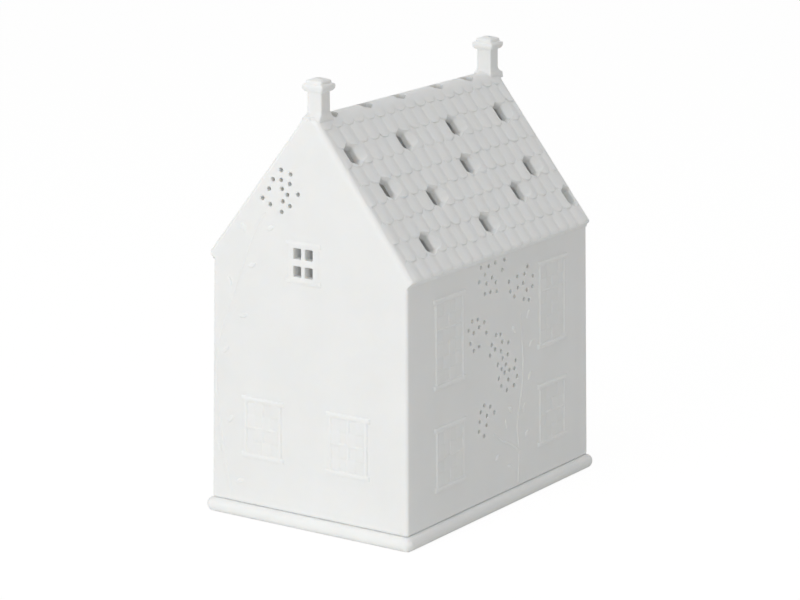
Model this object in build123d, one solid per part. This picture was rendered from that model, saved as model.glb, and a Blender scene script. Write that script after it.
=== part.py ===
from build123d import *
import math
import os

# A tealight house in unglazed white porcelain. A gabled shell with a tiled,
# pierced roof and two chimneys stands over a plate that carries a tealight.
# The ridge runs along Y, the front gable faces -Y, +Z is up and the origin is
# the middle of the plate's underside. All sizes are in millimetres.

# House walls
house_width = 105.0
house_length = 150.0
wall_height = 108.7
wall_thickness = 3.5
wall_draft = 1.5
corner_radius = 1.3
foot_radius = 1.0

# Roof
roof_pitch = 51.9
roof_thickness = 4.3
eave_overhang = 3.2
eave_nose = 1.4
ridge_radius = 7.0
course_gauge = 9.5
course_count = 9
first_course = 12.0
tile_pitch = 7.85
tile_joint = 0.7
tile_lift = 0.8
tile_round = 1.7
tile_bed = 0.4
verge_width = 1.6
first_column_inset = 14.75

# Roof openings, each the shape of a missing tile. Those on the ridge are
# pressed straight down and reach a little over it.
opening_width = 7.4
opening_height = 11.3
opening_shoulder = 2.5
ridge_opening_reach = 4.2

# Chimneys
stack_width = 7.4
stack_depth = 7.0
stack_height = 10.2
front_stack_inset = 10.1
rear_stack_inset = 6.7
cap_spread = 1.7
cap_cove = 1.2
cap_band = 3.0
cap_top = 1.0
cap_hip = 0.8
cap_hip_inset = 1.3

# Plate
plate_thickness = 6.4
plate_overhang = 2.6
plate_corner = 3.6
plate_round = 3.1
rib_height = 3.0
rib_width = 2.5
rib_clearance = 0.8

# Tealight
cup_radius = 19.0
cup_height = 15.0
cup_wall = 0.35
cup_flare = 0.4
rim_radius = 0.55
wax_clearance = 0.3
wax_height = 12.0
wax_chamfer = 0.8
wick_radius = 0.7
wick_height = 8.0
tab_radius = 6.5
tab_thickness = 0.3
neck_height = 3.2
neck_wall = 0.5

# Pierced work and relief
pinhole_radius = 0.95
frame_width = 1.7
frame_rise = 0.8
bar_width = 1.3
bar_rise = 0.55
lintel_height = 2.2
lintel_rise = 1.2
lintel_reach = 1.3
pane_rise = 0.3
pane_lap = 0.5
pane_width = 4.1
pane_height = 4.8
pane_mullion = 2.0
pane_transom = 3.1
stem_width = 1.2
stem_rise = 0.5
leaf_length = 4.6
leaf_width = 2.1
leaf_rise = 0.6

# One overrun serves every cut that passes through a face
overrun = 5.0

# Places that follow from the sizes
foot_z = plate_thickness
eave_z = foot_z + wall_height
half_width = house_width / 2
half_length = house_length / 2
lean = wall_draft / wall_height
draft_angle = math.degrees(math.atan(lean))
pitch = math.radians(roof_pitch)
eave_half = half_width - wall_draft
inner_apex_z = eave_z + eave_half * math.tan(pitch)
apex_z = inner_apex_z + roof_thickness / math.cos(pitch)
ridge_centre_z = apex_z - ridge_radius / math.cos(pitch)
ridge_z = ridge_centre_z + ridge_radius
tip_x = eave_half + eave_overhang
tip_z = apex_z - tip_x * math.tan(pitch)


def half_length_at(z):
    """Half the house's length at a height, where the gables lean in."""
    return half_length - lean * (z - foot_z)


def xz_face(points):
    """A flat outline in the XZ plane, from (x, z) points."""
    return make_face(Polyline(*[(x, 0, z) for x, z in points], close=True))


def along_y(face, half):
    """A prism over the XZ outline, from -half to +half along Y."""
    return extrude(face, amount=half, dir=(0, 1, 0), both=True)


# House shell
def envelope(inset):
    """The four leaning wall faces as one tall block, moved inwards by inset."""
    outline = Rectangle(house_width - 2 * inset, house_length - 2 * inset)
    return extrude(Pos(0, 0, foot_z) * outline, amount=apex_z - foot_z, taper=draft_angle)


def under_roof():
    """The space below the undersides of both roof slopes."""
    reach = half_width + overrun
    low = foot_z - overrun
    side = inner_apex_z - reach * math.tan(pitch)
    outline = xz_face([(-reach, low), (reach, low), (reach, side), (0, inner_apex_z), (-reach, side)])
    return along_y(outline, half_length + overrun)


def wall_ring():
    """All four walls with their gables, before they are parted at the corners."""
    block = envelope(0)
    uprights = block.edges().filter_by(Plane.XY, reverse=True)
    block = fillet(uprights, corner_radius)
    foot = block.faces().sort_by(Axis.Z)[0]
    block = fillet(foot.edges(), foot_radius)
    return (block & under_roof()) - envelope(wall_thickness)


def corner_wedge(half_across, half_back, turn):
    """The plan region of one wall, whose sides run in at 45 degrees from its corners."""
    reach = half_across + overrun
    back = half_back + overrun
    if reach > back:
        inner = [(reach - back, 0), (back - reach, 0)]
    else:
        inner = [(0, reach - back)]
    outline = make_face(Polyline((-reach, -back), (reach, -back), *inner, close=True))
    return Rot(0, 0, turn) * extrude(outline, amount=apex_z + overrun)


# Places on the walls, as shares of the wall they are on: across from the
# middle of the wall, -1 to 1, and up from its foot to the eaves, 0 to 1.
# Above the eaves the height share goes past 1.
gable_pin_shares = [
    (-0.274, 1.401), (-0.179, 1.388), (-0.356, 1.359), (-0.274, 1.361), (-0.188, 1.349),
    (-0.396, 1.319), (-0.265, 1.326), (-0.211, 1.305), (-0.105, 1.312), (-0.463, 1.278),
    (-0.258, 1.276), (-0.187, 1.261), (-0.385, 1.257), (-0.269, 1.233),
]
side_pin_shares = [
    # under the eaves
    (-0.208, 0.983), (-0.125, 0.978), (-0.055, 0.984), (0.046, 0.983), (0.020, 0.943),
    (-0.165, 0.948), (-0.228, 0.926), (-0.090, 0.926), (-0.152, 0.910), (-0.048, 0.901),
    (-0.170, 0.869), (-0.108, 0.869), (-0.042, 0.864),
    # upper right
    (0.300, 0.921), (0.267, 0.892), (0.188, 0.893), (0.358, 0.871), (0.095, 0.883),
    (0.252, 0.856), (0.192, 0.846), (0.110, 0.840), (0.292, 0.822), (0.355, 0.829),
    (0.153, 0.813), (0.258, 0.788), (0.315, 0.777),
    # left
    (-0.307, 0.775), (-0.247, 0.775), (-0.177, 0.754), (-0.232, 0.742), (-0.345, 0.744),
    (-0.290, 0.725), (-0.155, 0.707), (-0.328, 0.687), (-0.232, 0.661), (-0.290, 0.652),
    # middle
    (-0.048, 0.682), (0.000, 0.677), (0.018, 0.643), (-0.097, 0.647), (0.085, 0.630),
    (-0.060, 0.623), (-0.117, 0.606), (0.002, 0.607), (0.078, 0.581), (0.022, 0.574),
    (-0.032, 0.555), (0.058, 0.542), (0.167, 0.543), (0.012, 0.530), (0.097, 0.513),
    (0.152, 0.511), (0.043, 0.510), (-0.020, 0.495), (0.083, 0.475), (0.182, 0.474),
    (0.005, 0.460), (0.147, 0.441), (0.067, 0.433),
    # lower left
    (-0.182, 0.408), (-0.117, 0.392), (-0.220, 0.385), (-0.153, 0.360), (-0.073, 0.361),
    (-0.232, 0.346), (-0.158, 0.321), (-0.240, 0.306), (-0.185, 0.279),
]


def swapped(shares):
    """The same places, and any turns, left and right exchanged for the opposite wall."""
    return [(-across, up, *[180 - turn for turn in turns]) for across, up, *turns in shares]


def pinholes(shares, half, depth, turn):
    """Round drills through one wall, whose outer face lies at -depth along Y."""
    drill = Cylinder(pinhole_radius, 2 * (wall_thickness + overrun), rotation=(90, 0, 0))
    places = [Pos(across * half, -depth, foot_z + up * wall_height) for across, up in shares]
    return [Rot(0, 0, turn) * place * drill for place in places]


# Windows, each by its middle across the wall and its sill height, with its
# outside width and height, and the rows of small panes in its two columns
gable_window_width = 20.4
gable_window_height = 27.8
side_window_width = 22.6
side_window_low = 29.0
side_window_tall = 40.2
attic_frame_margin = 3.0
gable_window_shares = {"left": (-0.465, 0.199), "right": (0.402, 0.199)}
side_window_shares = {
    "lower_front": (-0.552, 0.131), "lower_rear": (0.573, 0.131),
    "upper_front": (-0.552, 0.551), "upper_rear": (0.573, 0.551),
}
attic_window_share = (-0.050, 1.038)
light_columns = 4
low_rows = 4
tall_rows = 6
low_bar_share = 0.5
tall_bar_share = 0.66


def bar(x0, x1, y0, y1, rise):
    """A flat bar of relief between two corners, standing rise off the wall."""
    return Pos((x0 + x1) / 2, (y0 + y1) / 2, rise / 2) * Box(x1 - x0, y1 - y0, rise)


def window_relief(width, height, rows, transom_share):
    """A casement in relief, sill at y 0, with a chequer of raised panes."""
    half = width / 2
    parts = [
        bar(-half, -half + frame_width, 0, height, frame_rise),
        bar(half - frame_width, half, 0, height, frame_rise),
        bar(-half - lintel_reach, half + lintel_reach, 0, lintel_height, lintel_rise),
        bar(-half - lintel_reach, half + lintel_reach, height - lintel_height, height, lintel_rise),
        bar(-bar_width / 2, bar_width / 2, 0, height, bar_rise),
    ]
    middle = height * transom_share
    parts.append(bar(-half, half, middle - bar_width / 2, middle + bar_width / 2, bar_rise))
    column = (width - 2 * frame_width) / light_columns
    row = (height - 2 * lintel_height) / rows
    for c in range(light_columns):
        for r in range(rows):
            if (c + r) % 2 == 0:
                x0 = -half + frame_width + c * column - pane_lap
                y0 = lintel_height + r * row - pane_lap
                parts.append(bar(x0, x0 + column + 2 * pane_lap, y0, y0 + row + 2 * pane_lap, pane_rise))
    return parts[0].fuse(*parts[1:]).clean()


def attic_panes(depth):
    """The four openings of the attic window, centred on the origin."""
    x, y = (pane_width + pane_mullion) / 2, (pane_height + pane_transom) / 2
    pane = Box(pane_width, pane_height, depth)
    return [Pos(*corner) * pane for corner in ((-x, -y), (x, -y), (-x, y), (x, y))]


def attic_relief():
    """The raised surround of the attic window, with a lintel and a sill."""
    half_x = pane_width + pane_mullion / 2 + attic_frame_margin
    half_y = pane_height + pane_transom / 2 + attic_frame_margin
    parts = [
        bar(-half_x, half_x, -half_y, half_y, bar_rise),
        bar(-half_x - lintel_reach, half_x + lintel_reach, -half_y, lintel_height - half_y, frame_rise),
        bar(-half_x - lintel_reach, half_x + lintel_reach, half_y - lintel_height, half_y, frame_rise),
    ]
    return parts[0].fuse(*parts[1:]).clean() - attic_panes(2 * wall_thickness)


def on_wall(shape, share, half, depth, turn):
    """Puts flat relief on a leaning wall, its x axis across and y axis up."""
    across, up = share
    rise = up * wall_height
    place = Pos(across * half, lean * rise - depth, foot_z + rise) * Rot(90 - draft_angle, 0, 0)
    return Rot(0, 0, turn) * place * shape


# Climbing branches in relief, as places on a wall in the same shares
gable_branch_shares = [
    (-0.785, 0.03), (-0.845, 0.12), (-0.880, 0.25), (-0.930, 0.37), (-0.955, 0.55), (-0.900, 0.72),
    (-0.790, 0.83), (-0.700, 0.95), (-0.600, 1.07), (-0.520, 1.17), (-0.430, 1.22),
]
side_branch_shares = [
    (0.185, 0.02), (0.205, 0.15), (0.170, 0.27), (0.225, 0.38), (0.250, 0.50), (0.235, 0.62), (0.215, 0.74),
]
side_twig_shares = [(0.205, 0.15), (0.110, 0.20), (0.020, 0.22), (-0.080, 0.27)]
gable_leaf_shares = [
    (-0.740, 0.08, 35), (-0.900, 0.20, 120), (-0.830, 0.33, 50), (-0.885, 0.62, 40),
    (-0.700, 0.78, 20), (-0.790, 0.90, 110), (-0.610, 0.99, 25), (-0.640, 1.13, 120), (-0.420, 1.15, 30),
]
side_leaf_shares = [
    (0.120, 0.09, 150), (0.265, 0.20, 40), (0.240, 0.31, 60), (0.130, 0.33, 140), (0.300, 0.44, 45),
    (0.060, 0.27, 100), (-0.010, 0.17, 200), (0.310, 0.58, 30), (0.165, 0.66, 130), (0.290, 0.70, 60),
]


def stem(shares, half):
    """A round-ended stem through places on a wall, in the wall's own plane."""
    points = [(across * half, up * wall_height) for across, up in shares]
    outline = Sketch() + [Pos(x, y, 0) * Circle(stem_width / 2) for x, y in points]
    for (x0, y0), (x1, y1) in zip(points, points[1:]):
        length = math.hypot(x1 - x0, y1 - y0)
        turn = math.degrees(math.atan2(y1 - y0, x1 - x0))
        middle = Pos((x0 + x1) / 2, (y0 + y1) / 2, 0)
        outline += middle * Rot(0, 0, turn) * Rectangle(length, stem_width)
    return extrude(outline, amount=stem_rise)


def leaf():
    """A pointed leaf made of two arcs, from its stalk at the origin along x."""
    tip = (leaf_length, 0)
    upper = ThreePointArc((0, 0), (leaf_length / 2, leaf_width / 2), tip)
    lower = ThreePointArc(tip, (leaf_length / 2, -leaf_width / 2), (0, 0))
    return extrude(make_face([upper, lower]), amount=leaf_rise)


def branch(stems, leaves, half):
    """Stems and loose leaves of one wall, in the wall's own plane."""
    solids = stem(stems[0], half)
    for shares in stems[1:]:
        solids += stem(shares, half)
    for across, up, turn in leaves:
        solids += Pos(across * half, up * wall_height, 0) * Rot(0, 0, turn) * leaf()
    return solids


# Roof
def roof_section():
    """Half of the roof in section, from the ridge to the eave on the +X side."""
    tangent_x = ridge_radius * math.sin(pitch)
    tangent_z = ridge_centre_z + ridge_radius * math.cos(pitch)
    arc_x = ridge_radius * math.sin(pitch / 2)
    arc_z = ridge_centre_z + ridge_radius * math.cos(pitch / 2)
    top = ThreePointArc((0, 0, ridge_z), (arc_x, 0, arc_z), (tangent_x, 0, tangent_z))
    rest = Polyline(
        (tangent_x, 0, tangent_z),
        (tip_x, 0, tip_z),
        (tip_x, 0, tip_z - eave_nose),
        (eave_half, 0, eave_z),
        (0, 0, inner_apex_z),
        (0, 0, ridge_z),
    )
    return make_face([top, rest])


def between_gables(inset):
    """The length of the house between its leaning gable faces, less an inset."""
    low, high = foot_z - overrun, apex_z + overrun
    low_y, high_y = half_length_at(low) - inset, half_length_at(high) - inset
    corners = [(0, -low_y, low), (0, low_y, low), (0, high_y, high), (0, -high_y, high)]
    outline = make_face(Polyline(*corners, close=True))
    return extrude(outline, amount=tip_x + overrun, dir=(1, 0, 0), both=True)


def slope_plane():
    """The +X slope: x along the ridge, y up the slope, origin where slopes meet."""
    return Plane(origin=(0, 0, apex_z), x_dir=(0, 1, 0), z_dir=(math.sin(pitch), 0, math.cos(pitch)))


# Columns of tiles before the first, and how far each course is shifted along
# the ridge, as shares of one tile
spare_columns = 2
course_phase_shares = [0.15, 0.50, -0.19, 0.50, 0.00, 0.48, 0.00, 0.54, 0.04]


def course_end(course):
    """How far down the slope the lower edge of a course lies."""
    return first_course + course * course_gauge


def column_y(course, column):
    """Where the middle of a tile is along the ridge."""
    return first_column_inset - half_length + (course_phase_shares[course] + column) * tile_pitch


def tile(length):
    """One tile with its rounded lower edge at the origin and its body above."""
    half = (tile_pitch - tile_joint) / 2
    edge = ThreePointArc((-half, tile_round), (0, 0), (half, tile_round))
    body = Polyline((half, tile_round), (half, length), (-half, length), (-half, tile_round))
    return make_face([edge, body])


def tiles():
    """Every tile of the +X slope, each course tilted over the one below."""
    tilt = math.degrees(math.atan(tile_lift / course_gauge))
    last_column = math.ceil(house_length / tile_pitch)
    solids = []
    for course in range(course_count):
        end = course_end(course)
        length = min(course_gauge, end - ridge_radius * math.tan(pitch))
        lower_edge = slope_plane() * Pos(0, -end, tile_lift - tile_bed) * Rot(-tilt, 0, 0)
        for column in range(-spare_columns, last_column):
            y = column_y(course, column)
            if abs(y) < half_length:
                outline = lower_edge * Pos(y, 0, 0) * tile(length)
                solids.append(extrude(outline, amount=-(tile_lift + tile_bed)))
    return solids


def opening_shape(slant_share):
    """The outline of one roof opening, pointed at both ends, its height foreshortened."""
    w, h = opening_width / 2, slant_share * opening_height / 2
    shoulder = h - slant_share * opening_shoulder
    points = [(0, h), (w, shoulder), (w, -shoulder), (0, -h), (-w, -shoulder), (-w, shoulder)]
    return make_face(Polyline(*points, close=True))


def opening_cutters(openings):
    """Punches through the +X slope, square to it, at (course, column) places."""
    cutters = []
    for course, column in openings:
        middle = course_end(course) - opening_height / 2
        place = slope_plane() * Pos(column_y(course, column), -middle, -roof_thickness - overrun)
        cutters.append(extrude(place * opening_shape(1), amount=roof_thickness + 2 * overrun))
    return cutters


def ridge_cutters():
    """Upright punches through the ridge, which open the +X slope and nick the other."""
    outline = Rot(0, 0, 90) * opening_shape(math.cos(pitch))
    middle_x = opening_height * math.cos(pitch) / 2 - ridge_opening_reach
    places = [Pos(middle_x, column_y(0, column), eave_z) for column in ridge_columns]
    return [extrude(place * outline, amount=apex_z - eave_z + overrun) for place in places]


# Openings by course and column, and the columns of those on the ridge, which
# belong to the left slope
right_openings = [
    (2, 0), (2, 5), (2, 10), (2, 15), (4, 1), (4, 9), (5, 4), (5, 14), (6, 12), (7, 1), (7, 7), (7, 15.8),
]
ridge_columns = [0.15, 3.45, 6.75, 10.55, 13.7]
left_openings = [(3, 2), (3, 8), (3, 13), (5, 5), (5, 11), (7, 1), (7, 8), (7, 14)]


def roof_slope(cutters):
    """The +X roof slope with its tiles, cut open and trimmed at the gables."""
    slab = along_y(roof_section(), half_length)
    slope_start = ridge_radius * math.tan(pitch)
    slope_end = tip_x / math.cos(pitch)
    bed = Rectangle(house_length, slope_end - slope_start)
    bed = slope_plane() * Pos(0, -(slope_start + slope_end) / 2, -tile_bed) * bed
    tiled_length = between_gables(verge_width)
    slab -= extrude(bed, amount=tile_bed + overrun) & tiled_length
    slab = slab.fuse(*[one & tiled_length for one in tiles()])
    slab = (slab - cutters) & between_gables(0)
    return slab.solids().sort_by(SortBy.VOLUME)[-1]


# Chimneys
def chimney(y):
    """A square stack that saddles the ridge, with a moulded cap."""
    top = ridge_z + stack_height
    roof_block = along_y(roof_section(), half_length)
    roof_block += mirror(roof_block, about=Plane.YZ)
    low = ridge_centre_z
    stack = Pos(0, 0, (low + top) / 2) * Box(stack_width, stack_depth, top - low)
    stack -= roof_block
    stack = stack.solids().sort_by(Axis.Z)[-1]
    band_width, band_depth = stack_width + 2 * cap_spread, stack_depth + 2 * cap_spread
    cove_angle = math.degrees(math.atan((cap_spread / 2) / cap_cove))
    cove = extrude(Pos(0, 0, top) * Rectangle(stack_width, stack_depth), amount=cap_cove, taper=-cove_angle)
    band = Pos(0, 0, top + cap_cove + cap_band / 2) * Box(band_width, band_depth, cap_band)
    flats = band.edges().filter_by(Plane.XY)
    band = fillet(flats, cap_band * 0.45)
    tier_z = top + cap_cove + cap_band
    tier = Pos(0, 0, tier_z + cap_top / 2) * Box(stack_width + cap_top, stack_depth + cap_top, cap_top)
    hip_angle = math.degrees(math.atan(cap_hip_inset / cap_hip))
    hip_outline = Pos(0, 0, tier_z + cap_top) * Rectangle(stack_width + cap_top, stack_depth + cap_top)
    hip = extrude(hip_outline, amount=cap_hip, taper=hip_angle)
    return Pos(0, y, 0) * stack.fuse(cove, band, tier, hip).clean()


# Plate
def base_plate():
    """The plate: a bullnosed slab with the rib that keeps the house in place."""
    width = house_width + 2 * plate_overhang
    length = house_length + 2 * plate_overhang
    slab = extrude(RectangleRounded(width, length, plate_corner), amount=plate_thickness)
    slab = fillet(slab.faces().filter_by(Axis.Z).edges(), plate_round)
    inset = wall_thickness + rib_clearance
    rib_x, rib_y = house_width - 2 * inset, house_length - 2 * inset
    rib = Rectangle(rib_x, rib_y) - Rectangle(rib_x - 2 * rib_width, rib_y - 2 * rib_width)
    return slab.fuse(extrude(Pos(0, 0, plate_thickness) * rib, amount=rib_height))


# Tealight
def turned(points):
    """A round solid from a profile of (radius, height) points."""
    outline = make_face(Polyline(*[(r, 0, z) for r, z in points], close=True))
    return revolve(outline, axis=Axis.Z)


def tealight_cup():
    """The thin aluminium cup, a little wider at its curled rim."""
    low = cup_radius - cup_flare
    top = plate_thickness + cup_height
    floor = plate_thickness + cup_wall
    cup = turned([
        (0, plate_thickness), (low, plate_thickness), (cup_radius, top),
        (cup_radius - cup_wall, top), (low - cup_wall, floor), (0, floor),
    ])
    curl = Pos(0, 0, top) * Torus(cup_radius - cup_wall / 2, rim_radius)
    return cup.fuse(curl)


def wax():
    """The wax, with a bore for the wick and a pocket under it for the tab."""
    low = plate_thickness + cup_wall
    bottom_radius = cup_radius - cup_flare - cup_wall - wax_clearance
    top = low + wax_height
    body = turned([
        (0, low), (bottom_radius - wax_chamfer, low), (bottom_radius, low + wax_chamfer),
        (bottom_radius, top - wax_chamfer), (bottom_radius - wax_chamfer, top), (0, top),
    ])
    neck = wick_radius + neck_wall
    pocket = turned([
        (0, low), (tab_radius, low), (tab_radius, low + tab_thickness), (neck, low + tab_thickness),
        (neck, low + neck_height), (wick_radius, low + neck_height), (wick_radius, top), (0, top),
    ])
    return body - pocket


def wick_tab():
    """The tinned steel tab with the neck that holds the wick upright."""
    low = plate_thickness + cup_wall
    neck = wick_radius + neck_wall
    return turned([
        (0, low), (tab_radius, low), (tab_radius, low + tab_thickness), (neck, low + tab_thickness),
        (neck, low + neck_height), (wick_radius, low + neck_height),
        (wick_radius, low + tab_thickness), (0, low + tab_thickness),
    ])


def wick():
    """The braided wick, from the tab up to its free end above the wax."""
    low = plate_thickness + cup_wall + tab_thickness
    height = wax_height - tab_thickness + wick_height
    return Pos(0, 0, low + height / 2) * Cylinder(wick_radius, height)


# Assembly
def walls():
    """The four walls by name, pierced and parted at their mitred corners."""
    ring = wall_ring()
    gable_region = corner_wedge(half_width, half_length, 0)
    side_region = corner_wedge(half_length, half_width, 90)
    about = Rot(0, 0, 180)
    panes = [on_wall(pane, attic_window_share, half_width, half_length, 0)
             for pane in attic_panes(4 * wall_thickness)]
    pins = pinholes(gable_pin_shares, half_width, half_length, 0)
    right_pins = pinholes(side_pin_shares, half_length, half_width, 90)
    left_pins = pinholes(swapped(side_pin_shares), half_length, half_width, 270)
    return {
        "front_gable_wall": (ring & gable_region) - pins - panes,
        "back_gable_wall": (ring & about * gable_region) - [about * cut for cut in pins + panes],
        "right_side_wall": (ring & side_region) - right_pins,
        "left_side_wall": (ring & about * side_region) - left_pins,
    }


def gable_relief(wall, turn):
    """The windows and the branch on one gable, by name."""
    casement = window_relief(gable_window_width, gable_window_height, low_rows, low_bar_share)
    solids = {f"{wall}_window_{place}": on_wall(casement, share, half_width, half_length, turn)
              for place, share in gable_window_shares.items()}
    twigs = branch([gable_branch_shares], gable_leaf_shares, half_width)
    solids[f"{wall}_attic_window"] = on_wall(attic_relief(), attic_window_share, half_width, half_length, turn)
    solids[f"{wall}_branch"] = on_wall(twigs, (0, 0), half_width, half_length, turn)
    return solids


def side_relief(wall, turn, arranged):
    """The windows and the branch on one long wall, by name, their places arranged."""
    low = window_relief(side_window_width, side_window_low, low_rows, low_bar_share)
    tall = window_relief(side_window_width, side_window_tall, tall_rows, tall_bar_share)
    places = dict(zip(side_window_shares, arranged(side_window_shares.values())))
    solids = {f"{wall}_window_{place}": on_wall(tall if place.startswith("upper") else low,
                                                share, half_length, half_width, turn)
              for place, share in places.items()}
    stems = [arranged(side_branch_shares), arranged(side_twig_shares)]
    twigs = branch(stems, arranged(side_leaf_shares), half_length)
    solids[f"{wall}_branch"] = on_wall(twigs, (0, 0), half_length, half_width, turn)
    return solids


def roof():
    """Both slopes and both chimneys by name."""
    right_cuts = opening_cutters(right_openings)
    left_cuts = opening_cutters(left_openings)
    ridge_cuts = ridge_cutters()
    over_ridge = [mirror(cut, about=Plane.YZ) for cut in ridge_cuts]
    return {
        "right_roof_slope": roof_slope(right_cuts + over_ridge),
        "left_roof_slope": mirror(roof_slope(left_cuts + ridge_cuts), about=Plane.YZ),
        "front_chimney": chimney(front_stack_inset - half_length),
        "rear_chimney": chimney(half_length - rear_stack_inset),
    }


def tealight():
    """The tealight's pieces by name."""
    return {
        "tealight_cup": tealight_cup(),
        "tealight_wax": wax(),
        "tealight_wick": wick(),
        "wick_tab": wick_tab(),
    }


nodes = {
    **walls(),
    **roof(),
    **gable_relief("front", 0),
    **gable_relief("back", 180),
    **side_relief("right", 90, list),
    **side_relief("left", 270, swapped),
    "base_plate": base_plate(),
    **tealight(),
}
os.makedirs("parts", exist_ok=True)
for name, shape in nodes.items():
    solids = shape.solids()
    export_step(Compound(children=solids) if len(solids) > 1 else solids[0], f"parts/{name}.step")
    print(name, len(solids), round(shape.volume, 1))
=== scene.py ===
import math
import random

import bmesh
import bpy
from mathutils import Matrix, Vector


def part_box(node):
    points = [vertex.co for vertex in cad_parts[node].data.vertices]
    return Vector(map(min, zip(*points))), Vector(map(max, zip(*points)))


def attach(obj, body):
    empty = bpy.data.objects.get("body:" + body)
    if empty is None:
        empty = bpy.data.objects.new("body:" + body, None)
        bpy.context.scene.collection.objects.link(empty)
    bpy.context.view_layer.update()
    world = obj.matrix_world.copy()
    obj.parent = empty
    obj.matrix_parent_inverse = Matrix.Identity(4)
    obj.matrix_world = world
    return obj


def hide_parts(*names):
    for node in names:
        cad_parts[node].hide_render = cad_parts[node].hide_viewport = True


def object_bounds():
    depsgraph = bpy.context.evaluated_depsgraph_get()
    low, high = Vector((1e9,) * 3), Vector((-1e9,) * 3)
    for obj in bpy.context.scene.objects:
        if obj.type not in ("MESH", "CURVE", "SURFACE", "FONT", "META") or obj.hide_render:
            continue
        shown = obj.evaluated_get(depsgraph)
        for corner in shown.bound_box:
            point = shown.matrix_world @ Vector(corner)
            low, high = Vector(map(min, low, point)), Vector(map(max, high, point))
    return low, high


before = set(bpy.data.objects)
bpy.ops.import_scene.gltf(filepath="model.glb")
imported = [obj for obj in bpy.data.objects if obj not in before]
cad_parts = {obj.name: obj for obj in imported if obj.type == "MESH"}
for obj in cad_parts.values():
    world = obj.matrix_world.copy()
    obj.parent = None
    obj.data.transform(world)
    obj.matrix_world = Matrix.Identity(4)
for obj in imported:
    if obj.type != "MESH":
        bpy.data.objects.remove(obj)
cad_low, cad_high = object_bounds()

MM = 0.001


# Base plate
# A flat slab of bisque porcelain with a full round edge, pressed in one piece
# with the rib that keeps the house in place.

def deselect():
    """Leaves nothing selected, so that the next operator acts on one thing."""
    if bpy.context.mode != "OBJECT":
        bpy.ops.object.mode_set(mode="OBJECT")
    bpy.ops.object.select_all(action="DESELECT")


def make_active(piece):
    """Selects one piece and makes it the one that operators work on."""
    deselect()
    piece.select_set(True)
    bpy.context.view_layer.objects.active = piece


def add_block(name, low, high):
    """A cube primitive stretched between two corners, its place in its mesh."""
    deselect()
    low, high = Vector(low), Vector(high)
    bpy.ops.mesh.primitive_cube_add(size=1, location=(low + high) / 2)
    block = bpy.context.active_object
    block.name = name
    block.scale = high - low
    bpy.ops.object.transform_apply(location=True, rotation=True, scale=True)
    return block


def apply_modifiers(piece):
    """Applies every modifier of a piece in its order."""
    make_active(piece)
    for modifier in list(piece.modifiers):
        bpy.ops.object.modifier_apply(modifier=modifier.name)


def cut(piece, tools, operation="DIFFERENCE"):
    """Cuts or joins a piece with tool pieces, which are then gone."""
    for tool in tools:
        modifier = piece.modifiers.new("cut", "BOOLEAN")
        modifier.operation = operation
        modifier.solver = "MANIFOLD"
        modifier.object = tool
    apply_modifiers(piece)
    for tool in tools:
        bpy.data.meshes.remove(tool.data)
    return piece


def join(pieces, name):
    """Joins pieces into the first of them under a new name."""
    make_active(pieces[0])
    for piece in pieces:
        piece.select_set(True)
    bpy.ops.object.join()
    joined = bpy.context.active_object
    joined.name = name
    return joined


def bevel_edges(piece, width, segments, chosen):
    """Rounds the edges for which chosen(a, b) is true of their two ends."""
    make_active(piece)
    bpy.ops.object.mode_set(mode="EDIT")
    bpy.ops.mesh.select_mode(type="EDGE")
    shape = bmesh.from_edit_mesh(piece.data)
    for face in shape.faces:
        face.select = False
    for edge in shape.edges:
        edge.select = chosen(edge.verts[0].co, edge.verts[1].co)
    bmesh.update_edit_mesh(piece.data)
    bpy.ops.mesh.bevel(offset=width, offset_type="OFFSET", segments=segments, affect="EDGES")
    bpy.ops.object.mode_set(mode="OBJECT")


def face_outwards():
    """Turns every face of the piece in edit mode outwards, and leaves edit mode."""
    bpy.ops.mesh.select_all(action="SELECT")
    bpy.ops.mesh.normals_make_consistent(inside=False)
    bpy.ops.object.mode_set(mode="OBJECT")


def smooth(piece, degrees=38):
    """Shades a piece smooth but for edges sharper than an angle, large faces flat."""
    make_active(piece)
    bpy.ops.object.shade_smooth_by_angle(angle=math.radians(degrees))
    weighted = piece.modifiers.new("normals", "WEIGHTED_NORMAL")
    weighted.keep_sharp = True
    apply_modifiers(piece)


def linear(colour):
    """An sRGB hex value such as EDEDEB as linear red, green, blue and alpha."""
    shares = [int(colour[i:i + 2], 16) / 255 for i in (0, 2, 4)]
    return [s / 12.92 if s <= 0.04045 else ((s + 0.055) / 1.055) ** 2.4 for s in shares] + [1.0]


def add_node(tree, kind, settings, inputs):
    """Adds a node, with its properties and its socket values or links."""
    made = tree.nodes.new(kind)
    for name, value in settings.items():
        setattr(made, name, value)
    for socket, value in inputs.items():
        if isinstance(value, bpy.types.NodeSocket):
            tree.links.new(value, made.inputs[socket])
        else:
            made.inputs[socket].default_value = value
    return made


def new_material(name):
    """A material with its node tree, its shader and places in the piece's own axes."""
    made = bpy.data.materials.new(name)
    made.use_nodes = True
    tree = made.node_tree
    place = add_node(tree, "ShaderNodeTexCoord", {}, {}).outputs["Object"]
    return made, tree, tree.nodes["Principled BSDF"], place


# Bisque porcelain, slip cast and fired without a glaze. It gives a dead white,
# soft matt surface with a grain like fine sandpaper, and lets a little light
# through, which softens its edges and lights the inside.
porcelain, tree, shader, place = new_material("bisque_porcelain")
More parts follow.
